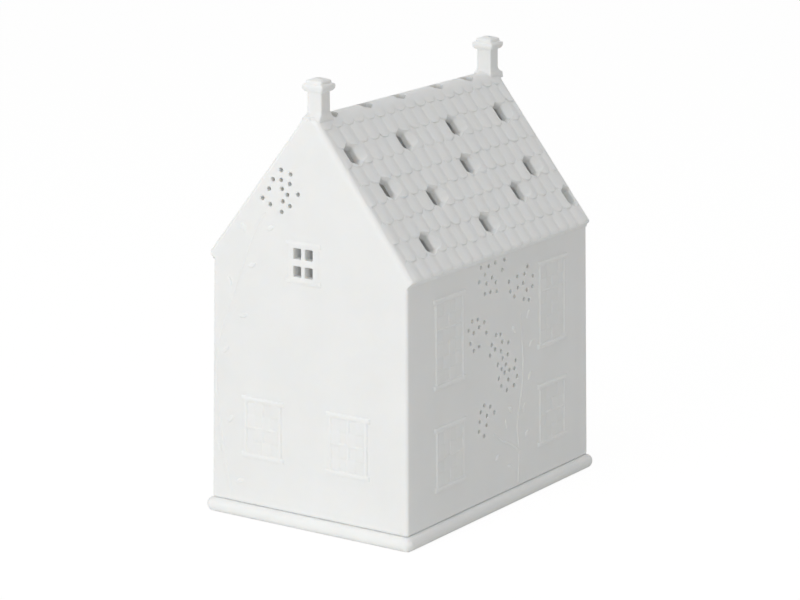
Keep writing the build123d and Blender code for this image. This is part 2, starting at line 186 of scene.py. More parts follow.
# firing leaves faint clouds some 25 mm across
clouds = add_node(tree, "ShaderNodeTexNoise", {}, {"Vector": place, "Scale": 1 / (25 * MM), "Detail": 3.0})
tint = add_node(tree, "ShaderNodeValToRGB", {}, {"Fac": clouds.outputs["Fac"]})
for element, stop, tone in zip(tint.color_ramp.elements, (0.3, 0.7), ("F2F3F2", "F5F6F5")):
    element.position = stop
    element.color = linear(tone)
tree.links.new(tint.outputs["Color"], shader.inputs["Base Color"])
shader.inputs["Roughness"].default_value = 0.72
shader.inputs["IOR"].default_value = 1.5
shader.inputs["Subsurface Weight"].default_value = 1.0
shader.inputs["Subsurface Radius"].default_value = (1.5 * MM, 1.4 * MM, 1.3 * MM)
shader.inputs["Subsurface Scale"].default_value = 1.0
# the grain is about 0.1 mm and is drawn at 0.5 mm, so that it shows
grain = add_node(tree, "ShaderNodeTexNoise", {}, {"Vector": place, "Scale": 1 / (0.5 * MM), "Detail": 2.0})
waves = add_node(tree, "ShaderNodeTexNoise", {}, {"Vector": place, "Scale": 1 / (14 * MM), "Detail": 1.0})
fine = add_node(tree, "ShaderNodeBump", {},
                {"Strength": 0.35, "Distance": 0.03 * MM, "Height": grain.outputs["Fac"]})
broad = add_node(tree, "ShaderNodeBump", {},
                 {"Strength": 0.5, "Distance": 0.25 * MM, "Height": waves.outputs["Fac"],
                  "Normal": fine.outputs["Normal"]})
tree.links.new(broad.outputs["Normal"], shader.inputs["Normal"])


def finish_piece(piece, body, slot, material, *nodes):
    """Gives a piece its finish and body, and the CAD nodes that it stands for."""
    piece.data.materials.clear()
    piece.data.materials.append(material)
    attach(piece, body)
    if nodes:
        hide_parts(*nodes)


plate_low, plate_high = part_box("base_plate")
wall_low, wall_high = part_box("front_gable_wall")
side_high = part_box("right_side_wall")[1]
plate_top = wall_low.z
plate_corner = 3.6 * MM
plate_round = 3.1 * MM
rib_gap = 0.8 * MM
rib_width = 2.5 * MM
rib_round = 0.6 * MM
wall_thickness = 3.5 * MM
# two heights nearer than this are the same level
level_gap = MM / 10

plate = add_block("plate", plate_low, (plate_high.x, plate_high.y, plate_top))
bevel_edges(plate, plate_corner, 8, lambda a, b: abs(a.z - b.z) > plate_top / 2)
bevel_edges(plate, plate_round, 8, lambda a, b: abs(a.z - b.z) < plate_top / 2)

rib_x = side_high.x - wall_thickness - rib_gap
rib_y = -wall_low.y - wall_thickness - rib_gap
rib = add_block("rib", (-rib_x, -rib_y, plate_top - rib_round), (rib_x, rib_y, plate_high.z))
rib_core = add_block("rib_core", (-rib_x + rib_width, -rib_y + rib_width, 0),
                     (rib_x - rib_width, rib_y - rib_width, plate_high.z * 2))
cut(rib, [rib_core])
bevel_edges(rib, rib_round, 3, lambda a, b: min(a.z, b.z) > plate_high.z - level_gap)
cut(plate, [rib], "UNION")
smooth(plate)
finish_piece(plate, "base", "porcelain", porcelain, "base_plate")


# House walls
# Four thin walls cast in one piece with the roof, leaning in a little towards
# the eaves so that the casting leaves its mould.

roof_low, roof_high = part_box("right_roof_slope")
foot_z = wall_low.z
eave_z = roof_low.z
inner_apex_z = wall_high.z
half_width = side_high.x
half_length = -wall_low.y
lean = (half_length - roof_high.y) / (eave_z - foot_z)
draft = math.atan(lean)
wall_height = eave_z - foot_z
eave_half = half_width - lean * wall_height
pitch = math.atan2(inner_apex_z - eave_z, eave_half)
roof_thickness = 4.3 * MM
apex_z = inner_apex_z + roof_thickness / math.cos(pitch)
corner_round = 1.4 * MM
foot_round = 1.3 * MM
wall_cell = 4.2 * MM
cell_shift = MM / 3
gable_top = 2.8 * MM


def length_at(z):
    """How far a gable's face is from the middle at a height, as it leans in."""
    return half_length - lean * (z - foot_z)


def add_tower(name, inset, low_z, high_z):
    """A block whose four faces lean in as the walls do, moved in by inset."""
    tower = add_block(name, (-1, -1, low_z), (1, 1, high_z))
    for corner in tower.data.vertices:
        shift = inset + lean * (corner.co.z - foot_z)
        corner.co.x *= half_width - shift
        corner.co.y *= half_length - shift
    return tower


def slice_planes(piece, cuts):
    """Cuts a piece along planes, each a point, a normal and whether what's beyond goes."""
    make_active(piece)
    bpy.ops.object.mode_set(mode="EDIT")
    for point, normal, clear in cuts:
        bpy.ops.mesh.select_all(action="SELECT")
        bpy.ops.mesh.bisect(plane_co=point, plane_no=normal, clear_outer=clear, use_fill=clear)
    bpy.ops.object.mode_set(mode="OBJECT")


def cells(half, axis):
    """Planes square to an axis, a cell apart, which only divide the faces."""
    normal = Vector([n == axis for n in range(3)])
    count = math.floor(half / wall_cell)
    return [(normal * (n * wall_cell + cell_shift), normal, False) for n in range(-count, count + 1)]


house = add_tower("house_casting", 0, foot_z, roof_high.z)
bevel_edges(house, corner_round, 5, lambda a, b: abs(a.z - b.z) > wall_height / 2)
bevel_edges(house, foot_round, 4, lambda a, b: max(a.z, b.z) < foot_z + level_gap)
under_roof = Vector((0, 0, apex_z - gable_top / math.cos(pitch)))
slice_planes(house, [(under_roof, (side * math.sin(pitch), 0, math.cos(pitch)), True)
                     for side in (-1, 1)])
hollow = add_tower("hollow", wall_thickness, -foot_z, roof_high.z * 2)
for tower in (house, hollow):
    slice_planes(tower, cells(half_width, 0) + cells(half_length, 1) + cells(inner_apex_z, 2))
cut(house, [hollow])


# Roof
# Cast with the walls as courses of beaver-tail tiles, domed and a little
# uneven, each course tilted over the one below. The ridge and the gable edges
# are wiped smooth before firing.

ridge_radius = 7.0 * MM
course_gauge = 9.5 * MM
course_count = 9
first_course = 12.0 * MM
tile_pitch = 7.85 * MM
tile_columns = 12
first_column = 14.75 * MM - half_length
course_phase_shares = [0.15, 0.50, -0.19, 0.50, 0.00, 0.48, 0.00, 0.54, 0.04]
tile_lift = 0.35 * MM
tile_crown = 0.52 * MM
crown_fade_share = 0.15
tile_drop = 2.2 * MM
tile_nose = 1.7 * MM
tile_nose_fall = 0.28 * MM
crown_power = 1.3
scallop_share = 0.93
joint_depth = 0.06 * MM
joint_share = 0.3
joint_columns = 3
tile_base = -0.68 * MM
verge = 2.4 * MM
verge_round = 2.3 * MM
verge_level = -0.3 * MM
verge_fade = 1.0 * MM
verge_hair = 0.01 * MM
eave_nose = 0.9 * MM
nose_rows = 5
nose_turn = math.radians(20)
eave_fall_share = 0.5
step_gap = 0.12 * MM
nose_setback = 1.6 * MM
cove_rise = 0.45 * MM
cove_shares = (0.2, 0.4, 0.6, 0.8, 1.0)
joint_wander = 0.25 * MM
end_wander = 0.3 * MM
lift_wander = 0.12 * MM
roll_wander = 0.1 * MM
ridge_row_gap = 1.0 * MM
ridge_fade = (6.5 * MM, 12.5 * MM)
row_shares = (0.0, 0.1, 0.3, 0.52, 0.74, 0.84, 0.9, 0.95, 0.985, 1.0)
verge_insets = [share * verge for share in (0, 0.04, 0.11, 0.22, 0.36, 0.53, 0.75)]

ridge_tangent = ridge_radius * math.tan(pitch)
ridge_start = ridge_tangent - ridge_radius * pitch
eave_tip = roof_high.x / math.cos(pitch) - nose_setback
DOWN = Vector((math.cos(pitch), 0, -math.sin(pitch)))
OUT = Vector((math.sin(pitch), 0, math.cos(pitch)))
APEX = Vector((0, 0, apex_z))
field_half = length_at(roof_high.z) - verge
column_count = round(2 * field_half / (tile_pitch / tile_columns))


def ramp(x):
    """A soft step from 0 to 1."""
    x = min(max(x, 0), 1)
    return x * x * (3 - 2 * x)


def surface(down, out):
    """A point of the roof's section: so far down from the apex, so far out."""
    if down >= ridge_tangent:
        return APEX + DOWN * down + OUT * out
    angle = pitch - (ridge_tangent - down) / ridge_radius
    centre = Vector((0, 0, apex_z - ridge_radius / math.cos(pitch)))
    return centre + Vector((math.sin(angle), 0, math.cos(angle))) * (ridge_radius + out)


def lay_course(number, chance):
    """One course: its joints along the ridge, and each tile's small faults."""
    start = first_column + (course_phase_shares[number] - 0.5) * tile_pitch
    first = math.floor((-field_half - start) / tile_pitch)
    count = math.ceil(2 * field_half / tile_pitch) + 2
    joints = [start + (first + n) * tile_pitch + chance.uniform(-joint_wander, joint_wander)
              for n in range(count + 1)]
    tiles = [{
        "end": chance.uniform(-end_wander, end_wander),
        "lift": chance.uniform(-lift_wander, lift_wander),
        "roll": chance.uniform(-roll_wander, roll_wander),
    } for _ in range(count)]
    # the mesh's columns shift sideways, so that one lies along every joint
    anchors, spots = [0], [-field_half]
    for joint in joints:
        column = round((joint + field_half) / (2 * field_half) * column_count)
        if anchors[-1] + joint_columns < column < column_count - joint_columns:
            anchors.append(column)
            spots.append(joint)
    anchors.append(column_count)
    spots.append(field_half)
    ys, place = [], 0
    for column in range(column_count + 1):
        while column > anchors[place + 1]:
            place += 1
        share = (column - anchors[place]) / (anchors[place + 1] - anchors[place])
        ys.append(spots[place] + share * (spots[place + 1] - spots[place]))
    end = min(first_course + number * course_gauge, eave_tip)
    return {"joints": joints, "tiles": tiles, "ys": ys, "end": end, "last": number == course_count - 1}


def tile_at(course, y):
    """The tile at a place along the ridge, and how far across it, -1 to 1."""
    joints = course["joints"]
    n = 0
    while n < len(joints) - 2 and y > joints[n + 1]:
        n += 1
    middle, half = (joints[n] + joints[n + 1]) / 2, (joints[n + 1] - joints[n]) / 2
    return course["tiles"][n], min(max((y - middle) / half, -1), 1)


def lower_edge(course, y):
    """How far down the slope a course's scalloped lower edge lies at a place."""
    tile, x = tile_at(course, y)
    drop = tile_drop * (1 - math.sqrt(1 - scallop_share * x * x))
    if course["last"]:
        return course["end"] - drop * eave_fall_share
    return course["end"] + tile["end"] - drop


def tile_height(course, y, above_edge):
    """How far a tile's face stands off the slope, so far above its lower edge."""
    tile, x = tile_at(course, y)
    rise = min(above_edge / course_gauge, 1)
    height = tile_base + tile_lift * (1 - rise) + tile["lift"] + tile["roll"] * x
    height += tile_crown * (1 - crown_fade_share * rise) * (1 - x * x) ** crown_power
    height -= joint_depth * (1 - rise) * math.exp(-((1 - abs(x)) / joint_share) ** 2)
    if above_edge < tile_nose:
        height -= tile_nose_fall * (1 - math.sqrt(1 - (1 - above_edge / tile_nose) ** 2))
    return height


def slope_rows(seed):
    """A slope's outer face, as rows of (y, down, out), from the ridge to under its nose."""
    chance = random.Random(seed)
    even = [field_half * (2 * n / column_count - 1) for n in range(column_count + 1)]
    rows = [[(y, ridge_start + n * ridge_row_gap, 0) for y in even] for n in (0, 1)]
    upper = [ridge_start + 2 * ridge_row_gap] * (column_count + 1)
    for number in range(course_count):
        course = lay_course(number, chance)
        lower = [lower_edge(course, y) for y in course["ys"]]
        for share in row_shares:
            row = []
            for y, top, bottom in zip(course["ys"], upper, lower):
                top += step_gap
                down = top + share * (bottom - top)
                tiled = ramp((down - ridge_fade[0]) / (ridge_fade[1] - ridge_fade[0]))
                sides = ramp((field_half - abs(y)) / verge_fade)
                out = tile_height(course, y, bottom - down) * sides + verge_level * (1 - sides)
                row.append((y, down, out * tiled))
            rows.append(row)
        upper = lower
    edge = rows[-1]
    for n in range(nose_rows):
        angle = (n + 1) * nose_turn
        rows.append([(y, down + eave_nose * math.sin(angle), out - eave_nose * (1 - math.cos(angle)))
                     for y, down, out in edge])
    return rows


def roof_ring(row, side):
    """A row of the outer face as points, with both gable edges rounded over."""
    points = []
    ends = [(*row[0], inset) for inset in verge_insets]
    ends_back = [(*row[-1], inset) for inset in reversed(verge_insets)]
    for y, down, out, inset in ends + [(*spot, None) for spot in row] + ends_back:
        if inset is None:
            point = surface(down, out)
            # the field widens down the slope as the gables lean out
            point.y = y * (length_at(point.z) - verge) / field_half
        else:
            fall = verge_round - math.sqrt(verge_round ** 2 - max(verge_round - inset, 0) ** 2)
            point = surface(down, out - fall)
            point.y = math.copysign(length_at(point.z) - inset - verge_hair, y)
        point.x *= side
        points.append(point)
    return points


def add_roof():
    """Both slopes as one closed shell, ruled by the rows of the tiles."""
    left = [roof_ring(row, -1) for row in slope_rows(23)]
    right = [roof_ring(row, 1) for row in slope_rows(11)]
    rings = left[:0:-1] + right
    corner = Vector((eave_half, 0, eave_z))
    # a cove runs from each nose in to the wall, then the inside up to the ridge
    for side in (1, -1):
        nose = right[-1] if side > 0 else left[-1]
        cove = []
        for share in cove_shares:
            row = []
            for point in nose:
                spot = Vector((abs(point.x), 0, point.z)).lerp(corner, share)
                spot.z += cove_rise * math.sin(math.pi * share)
                narrowing = length_at(spot.z) / length_at(point.z)
                row.append(Vector((side * spot.x, point.y * narrowing, spot.z)))
            cove.append(row)
        # under the ridge the shell narrows as the gables lean in
        top_share = length_at(inner_apex_z) / length_at(eave_z)
        middle_z = (eave_z + inner_apex_z) / 2
        half_way = [Vector((side * eave_half / 2, point.y * (1 + top_share) / 2, middle_z))
                    for point in cove[-1]]
        if side > 0:
            under_ridge = [Vector((0, point.y * top_share, inner_apex_z)) for point in cove[-1]]
            rings += cove + [half_way, under_ridge]
        else:
            rings += [half_way] + cove[::-1]
    for ring in rings:
        for end in (0, -1):
            ring[end].y = math.copysign(length_at(ring[end].z) - verge_hair, ring[end].y)
    across = len(rings[0])
    deselect()
    bpy.ops.mesh.primitive_grid_add(x_subdivisions=across - 1, y_subdivisions=len(rings) - 1, size=1)
    roof = bpy.context.active_object
    roof.name = "roof"
    for n, vertex in enumerate(roof.data.vertices):
        vertex.co = rings[n // across][n % across]
    shape = bmesh.new()
    shape.from_mesh(roof.data)
    shape.verts.ensure_lookup_table()
    starts = [row * across for row in range(len(rings))]
    shape.faces.new([shape.verts[s] for s in starts])
    shape.faces.new([shape.verts[s + across - 1] for s in reversed(starts)])
    last = starts[-1]
    for n in range(across - 1):
        shape.faces.new([shape.verts[i] for i in (n, n + 1, last + n + 1, last + n)])
    bmesh.ops.recalc_face_normals(shape, faces=shape.faces)
    shape.to_mesh(roof.data)
    shape.free()
    return roof


cut(house, [add_roof()], "UNION")


# Chimneys
# A square stack at each end of the ridge, cast with the roof, its foot spread
# into the ridge. A bulging band and a low hipped tier cap it.

stack_round = 0.6 * MM
foot_reach_share = 2.6
cap_reach = 1.7 * MM
cap_height = 5.87 * MM
# each step of a stack's outline: how far out from its shaft, how far up
foot_steps = [
    (1.1 * MM, -3.2 * MM), (1.0 * MM, -0.7 * MM), (0.5 * MM, 0.1 * MM), (0.18 * MM, 0.9 * MM),
    (0, 2.2 * MM),
]
cap_steps = [
    (0, 0), (0.45 * MM, 0.1 * MM), (0.95 * MM, 0.42 * MM), (1.36 * MM, 0.95 * MM), (1.6 * MM, 1.6 * MM),
    (cap_reach, 2.3 * MM), (1.66 * MM, 2.75 * MM), (1.5 * MM, 3.1 * MM), (1.2 * MM, 3.35 * MM),
    (0.85 * MM, 3.48 * MM), (0.55 * MM, 3.62 * MM), (0.5 * MM, 3.9 * MM), (0.45 * MM, 4.55 * MM),
    (0.25 * MM, 4.85 * MM), (-0.9 * MM, 5.35 * MM), (-2.2 * MM, 5.75 * MM), (-2.9 * MM, cap_height),
]


def draw_up(levels):
    """Draws a flat primitive up into a closed column, with a ring of corners a level."""
    bpy.ops.object.mode_set(mode="EDIT")
    for _ in levels[1:]:
        bpy.ops.mesh.extrude_region_move(TRANSFORM_OT_translate={"value": (0, 0, 1)})
    face_outwards()


def add_chimney(node):
    """A stack drawn up from a square through its foot, its shaft and its cap."""
    low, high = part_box(node)
    middle_y = (low.y + high.y) / 2
    shaft_x, shaft_y = (high.x - low.x) / 2 - cap_reach, (high.y - low.y) / 2 - cap_reach
    steps = [(out, roof_high.z + up) for out, up in foot_steps]
    steps += [(out, high.z - cap_height + up) for out, up in cap_steps]
    deselect()
    bpy.ops.mesh.primitive_plane_add(size=2)
    stack = bpy.context.active_object
    draw_up(steps)
    for vertex in stack.data.vertices:
        out, z = steps[round(vertex.co.z)]
        outwards = vertex.co.y * middle_y > 0 and z < roof_high.z + foot_steps[-1][1]
        reach = foot_reach_share if outwards else 1
        vertex.co = (vertex.co.x * (shaft_x + out), middle_y + vertex.co.y * (shaft_y + out * reach), z)
    bevel_edges(stack, stack_round, 4, lambda a, b: a.x * b.x > 0 and abs(a.y - b.y) < shaft_y)
    return stack


for node in ("front_chimney", "rear_chimney"):
    cut(house, [add_chimney(node)], "UNION")


# Windows in relief
# Casements cast with the walls: a frame, a lintel and a sill that stand out a
# little past it, and small panes that are raised and sunk in turns, so that
# they catch the light like old glass.

frame_width = 1.7 * MM
frame_rise = 0.65 * MM
bar_width = 1.3 * MM
bar_rise = 0.42 * MM
lintel_height = 2.2 * MM
lintel_rise = 0.75 * MM
lintel_reach = 1.3 * MM
pane_rise = 0.38 * MM
pane_floor = 0.1 * MM
pane_columns = 4
edge_soft = 0.8 * MM
line_gap = 0.08 * MM
panel_sink = 0.35 * MM
panel_back = 1.0 * MM


def on_wall(across, up, turn, depth):
    """The place of flat work on a wall: x across, y up the face, z outwards."""
    rise = up - foot_z
    place = Matrix.Translation((across, lean * rise - depth, up))
    place = place @ Matrix.Rotation(math.pi / 2 - draft, 4, "X")
    return Matrix.Rotation(math.radians(turn), 4, "Z") @ place


def relief_height(x, y, features):
    """How far the relief stands off the wall at a place, the highest bar winning."""
    height = -panel_sink
    for x0, x1, y0, y1, rise in features:
        inside = min(x - x0, x1 - x, y - y0, y1 - y)
        height = max(height, -panel_sink + (rise + panel_sink) * ramp(0.5 + inside / edge_soft))
    return height


def grid_lines(edges):
    """Grid lines on both sides of every edge, so that each slope is even."""
    lines = sorted({round(e + s * edge_soft / 2, 6) for e in edges for s in (-1, 0, 1)})
    kept = [lines[0]]
    for line in lines[1:]:
        if line - kept[-1] > line_gap:
            kept.append(line)
    return kept


def add_relief(features, matrix):
    """A moulded panel from raised rectangles, closed at its back."""
    xs = grid_lines([f[i] for f in features for i in (0, 1)])
    ys = grid_lines([f[i] for f in features for i in (2, 3)])
    deselect()
    bpy.ops.mesh.primitive_grid_add(x_subdivisions=len(xs) - 1, y_subdivisions=len(ys) - 1, size=1)
    panel = bpy.context.active_object
    for n, corner in enumerate(panel.data.vertices):
        x, y = xs[n % len(xs)], ys[n // len(xs)]
        corner.co = (x, y, relief_height(x, y, features))
    bpy.ops.object.mode_set(mode="EDIT")
    bpy.ops.mesh.select_all(action="SELECT")
    bpy.ops.mesh.extrude_region_move(TRANSFORM_OT_translate={"value": (0, 0, -panel_back)})
    bpy.ops.transform.resize(value=(1, 1, 0), center_override=(0, 0, -panel_back))
    face_outwards()
    panel.data.transform(matrix)
    return panel


def casement_features(width, height, rows, bar_share):
    """The bars and raised panes of a casement, x across from its middle, y up."""
    half = width / 2 - lintel_reach
    middle = height * bar_share
    features = [
        (-half, half, 0, height, pane_floor),
        (-half, -half + frame_width, 0, height, frame_rise),
        (half - frame_width, half, 0, height, frame_rise),
        (-width / 2, width / 2, 0, lintel_height, lintel_rise),
        (-width / 2, width / 2, height - lintel_height, height, lintel_rise),
        (-bar_width / 2, bar_width / 2, 0, height, bar_rise),
        (-half, half, middle - bar_width / 2, middle + bar_width / 2, bar_rise),
    ]
    column = (2 * half - 2 * frame_width) / pane_columns
    row = (height - 2 * lintel_height) / rows
    for c in range(pane_columns):
        for r in range(rows):
            if (c + r) % 2 == 0:
                x, y = -half + frame_width + c * column, lintel_height + r * row
                features.append((x, x + column, y, y + row, pane_rise))
    return features


window_rows = {"left": (4, 0.5), "right": (4, 0.5), "lower": (4, 0.5), "upper": (6, 0.66)}
wall_turns = {
    "front": (0, half_length), "right": (90, half_width),
    "back": (180, half_length), "left": (270, half_width),
}


def wall_spot(node, turn):
    """A node's middle across its wall, its foot, and its width and height."""
    low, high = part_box(node)
    back = Matrix.Rotation(-math.radians(turn), 4, "Z")
    a, b = back @ low, back @ high
    return (a.x + b.x) / 2, low.z, abs(b.x - a.x), high.z - low.z


for wall, (turn, depth) in wall_turns.items():
    for node in [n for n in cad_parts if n.startswith(wall + "_window")]:
        rows, share = window_rows[node.split("_")[2]]
        across, sill_z, width, height = wall_spot(node, turn)
        features = casement_features(width, height, rows, share)
        cut(house, [add_relief(features, on_wall(across, sill_z, turn, depth))], "UNION")


# Attic windows
# The surround of the pierced window in each gable, cast with the wall. Its four
# panes are cut right through, so that they glow.

surround_rise = 0.3 * MM
ledge_rise = 0.4 * MM
for wall in ("front", "back"):
    turn, depth = wall_turns[wall]
    node = wall + "_attic_window"
    across, low_z, width, height = wall_spot(node, turn)
    half = width / 2 - lintel_reach
    features = [
        (-half, half, -height / 2, height / 2, surround_rise),
        (-width / 2, width / 2, -height / 2, lintel_height - height / 2, ledge_rise),
        (-width / 2, width / 2, height / 2 - lintel_height, height / 2, ledge_rise),
    ]
    cut(house, [add_relief(features, on_wall(across, low_z + height / 2, turn, depth))], "UNION")


# Climbing branches
# A bare climber with a few loose leaves in very low relief on each wall, laid
# on as rolled threads and pressed leaves of clay and smoothed down.

stem_radius = 0.75 * MM
stem_show = 0.5
stem_taper_share = 0.45
stem_weld = 0.01 * MM
leaf_length = 4.6 * MM
leaf_width = 2.3 * MM
leaf_rise = 0.5 * MM
leaf_taper_power = 0.25
crease_depth_share = 0.25
crease_width_share = 0.18
gable_branch_shares = [
    (-0.785, 0.03), (-0.845, 0.12), (-0.880, 0.25), (-0.930, 0.37), (-0.955, 0.55), (-0.900, 0.72),
    (-0.790, 0.83), (-0.700, 0.95), (-0.600, 1.07), (-0.520, 1.17), (-0.430, 1.22),
]
side_branch_shares = [
    (0.185, 0.02), (0.205, 0.15), (0.170, 0.27), (0.225, 0.38), (0.250, 0.50), (0.235, 0.62), (0.215, 0.74),
]
side_twig_shares = [(0.205, 0.15), (0.110, 0.20), (0.020, 0.22), (-0.080, 0.27)]
gable_leaf_shares = [
    (-0.740, 0.08, 35), (-0.900, 0.20, 120), (-0.830, 0.33, 50), (-0.885, 0.62, 40),
    (-0.700, 0.78, 20), (-0.790, 0.90, 110), (-0.610, 0.99, 25), (-0.640, 1.13, 120), (-0.420, 1.15, 30),
]
side_leaf_shares = [
    (0.120, 0.09, 150), (0.265, 0.20, 40), (0.240, 0.31, 60), (0.130, 0.33, 140), (0.300, 0.44, 45),
    (0.060, 0.27, 100), (-0.010, 0.17, 200), (0.310, 0.58, 30), (0.165, 0.66, 130), (0.290, 0.70, 60),
]


def add_stem(shares, half):
    """A thread of clay through places on a wall, thinning to its tip."""
    line = bpy.data.curves.new("stem", "CURVE")
    line.dimensions = "3D"
    line.bevel_depth = stem_radius
    line.bevel_resolution = 3
    line.use_fill_caps = True
    spline = line.splines.new("NURBS")
    spline.points.add(len(shares) - 1)
    for n, (across, up) in enumerate(shares):
        spline.points[n].co = (across * half, up * wall_height, 0, 1)
        spline.points[n].radius = 1 - stem_taper_share * n / (len(shares) - 1)
    spline.order_u = 3
    spline.use_endpoint_u = True
    spline.resolution_u = 8
    stem = bpy.data.objects.new("stem", line)
    bpy.context.collection.objects.link(stem)
    make_active(stem)
    bpy.ops.object.convert(target="MESH")
    bpy.ops.object.mode_set(mode="EDIT")
    bpy.ops.mesh.select_all(action="SELECT")
    bpy.ops.mesh.remove_doubles(threshold=stem_weld)
    face_outwards()
    return bpy.context.active_object


def add_leaf(x, y, turn):
    """A pointed leaf, domed, with a crease down its middle."""
    deselect()
    bpy.ops.mesh.primitive_uv_sphere_add(segments=20, ring_count=10, radius=1, rotation=(0, math.pi / 2, 0))
    leaf = bpy.context.active_object
    bpy.ops.object.transform_apply(rotation=True)
    for corner in leaf.data.vertices:
        along, side, up = corner.co
        taper = max(1 - along * along, 0) ** leaf_taper_power
        crease = crease_depth_share * math.exp(-(side / crease_width_share) ** 2)
        height = up * leaf_rise * (1 - crease)
        corner.co = ((along + 1) * leaf_length / 2, side * taper * leaf_width / 2, height)
    leaf.data.transform(Matrix.Translation((x, y, 0)) @ Matrix.Rotation(math.radians(turn), 4, "Z"))
    return leaf


for wall, (turn, depth) in wall_turns.items():
    gable = wall in ("front", "back")
    half = half_width if gable else half_length
    swap = -1 if wall == "left" else 1
    stems = [gable_branch_shares] if gable else [side_branch_shares, side_twig_shares]
    leaves = gable_leaf_shares if gable else side_leaf_shares
    threads = [add_stem(shares, swap * half) for shares in stems]
    for thread in threads:
        thread.data.transform(Matrix.Scale(stem_show, 4, (0, 0, 1)))
    pressed = [add_leaf(swap * across * half, up * wall_height, angle if swap > 0 else 180 - angle)
               for across, up, angle in leaves]
    for part in threads + [join(pressed, "leaves")]:
        part.data.transform(on_wall(0, foot_z, turn, depth))
        cut(house, [part], "UNION")


# Openings in the roof
# Tiles left out to let the light through, cut through the leather-hard clay as
# a six-sided shape and wiped with a sponge at the rim. A row of them is cut
# straight down along the ridge and reaches a little over it.

opening_width = 7.4 * MM
opening_height = 11.3 * MM
opening_shoulder = 2.5 * MM
ridge_opening_reach = 4.2 * MM
rim_reach = 5.0 * MM
rim_depth = 1.9 * MM
rim_left_share = 0.05
rim_end_share = 0.1
rim_corner_share = 0.55
rim_side_share = 0.4
rim_top_share = 1.9
# the rim's section, how far out and how deep: a rounded edge, then a long
# shallow slope on the side that the clay was wiped towards
rim_section_shares = [
    (0, 1), (0.02, 0.85), (0.05, 0.73), (0.1, 0.62), (0.18, 0.52), (0.3, 0.41), (0.45, 0.29), (0.62, 0.18),
    (0.8, 0.08), (1, 0),
]
rim_level = -0.15 * MM
side_round = 0.6 * MM
punch_corners = 8
punch_overrun = 3 * MM
punch_rise = 2.5 * MM


def opening_outline(grow, slant):
    """A missing tile's six sides, y its long way, with two more corners for the rim."""
    left, right = opening_width / 2 + grow * rim_left_share, opening_width / 2 + grow
    corner = opening_width / 2 + grow * rim_corner_share
    h = slant * opening_height / 2 + grow * rim_end_share
    shoulder = slant * (opening_height / 2 - opening_shoulder)
    side = shoulder * rim_side_share
    return [(0, h), (-left, shoulder), (-left, -shoulder), (0, -h),
            (corner, -shoulder), (right, -side), (right, side), (corner, shoulder)]


def add_punch(levels, slant):
    """A punch along z, its outline drawn through levels of height and growth."""
    deselect()
    bpy.ops.mesh.primitive_circle_add(vertices=punch_corners, radius=1, fill_type="NGON")
    punch = bpy.context.active_object
    draw_up(levels)
    for vertex in punch.data.vertices:
        height, grow = levels[round(vertex.co.z)]
        corner = round(math.atan2(-vertex.co.x, vertex.co.y) / math.tau * punch_corners) % punch_corners
        vertex.co = (*opening_outline(grow, slant)[corner], height)
    bevel_edges(punch, side_round, 3,
                lambda a, b: abs(a.z - b.z) > 0 and (a - b).to_2d().length < 2 * rim_reach)
    return punch


def rim_levels(bottom, surface_level, top):
    """Heights and growths that round the rim over where a punch meets the clay."""
    levels = [(surface_level - rim_depth * deep, rim_reach * out) for out, deep in rim_section_shares]
    return [(bottom, 0)] + levels + [(top, rim_reach * rim_top_share)]


def column_y(course, column):
    """Where the middle of a tile is along the ridge."""
    return first_column + (course_phase_shares[course] + column) * tile_pitch


def add_slope_punch(course, column):
    """The punch that leaves out one tile of the +X slope, square to it."""
    punch = add_punch(rim_levels(-roof_thickness - punch_overrun, rim_level, punch_rise), 1)
    down = first_course + course * course_gauge - opening_height / 2
    turn = Matrix((Vector((0, 1, 0)), -DOWN, OUT)).transposed().to_4x4()
    middle = APEX + DOWN * down + Vector((0, column_y(course, column), 0))
    punch.data.transform(Matrix.Translation(middle) @ turn)
    return punch


def add_ridge_punch(column):
    """An upright punch that opens the +X slope at the ridge and nicks the other."""
    slant = math.cos(pitch)
    punch = add_punch([(eave_z, 0), (roof_high.z * 1.1, 0)], slant)
    middle_x = opening_height * slant / 2 - ridge_opening_reach
    place = Matrix.Translation((middle_x, column_y(0, column), 0))
    punch.data.transform(place @ Matrix.Rotation(-math.pi / 2, 4, "Z"))
    return punch


def mirrored(piece):
    """Turns a +X piece into its -X twin, faces still outwards."""
    piece.data.transform(Matrix.Scale(-1, 4, (1, 0, 0)))
    piece.data.flip_normals()
    return piece


right_openings = [
    (2, 0), (2, 5), (2, 10), (2, 15), (4, 1), (4, 9), (5, 4), (5, 14), (6, 12), (7, 1), (7, 7), (7, 15.8),
]
left_openings = [(3, 2), (3, 8), (3, 13), (5, 5), (5, 11), (7, 1), (7, 8), (7, 14)]
ridge_columns = [0.15, 3.45, 6.75, 10.55, 13.7]
punches = [add_slope_punch(*place) for place in right_openings]
punches += [mirrored(add_slope_punch(*place)) for place in left_openings]
punches += [mirrored(add_ridge_punch(column)) for column in ridge_columns]
cut(house, [join(punches, "punches")])


# Pinholes and attic panes
# Holes drilled through the walls while the clay is leather-hard, in the loose
# groups of a flowering climber, and the four panes of each attic window. Their
# rims are wiped with a sponge, which rounds them.

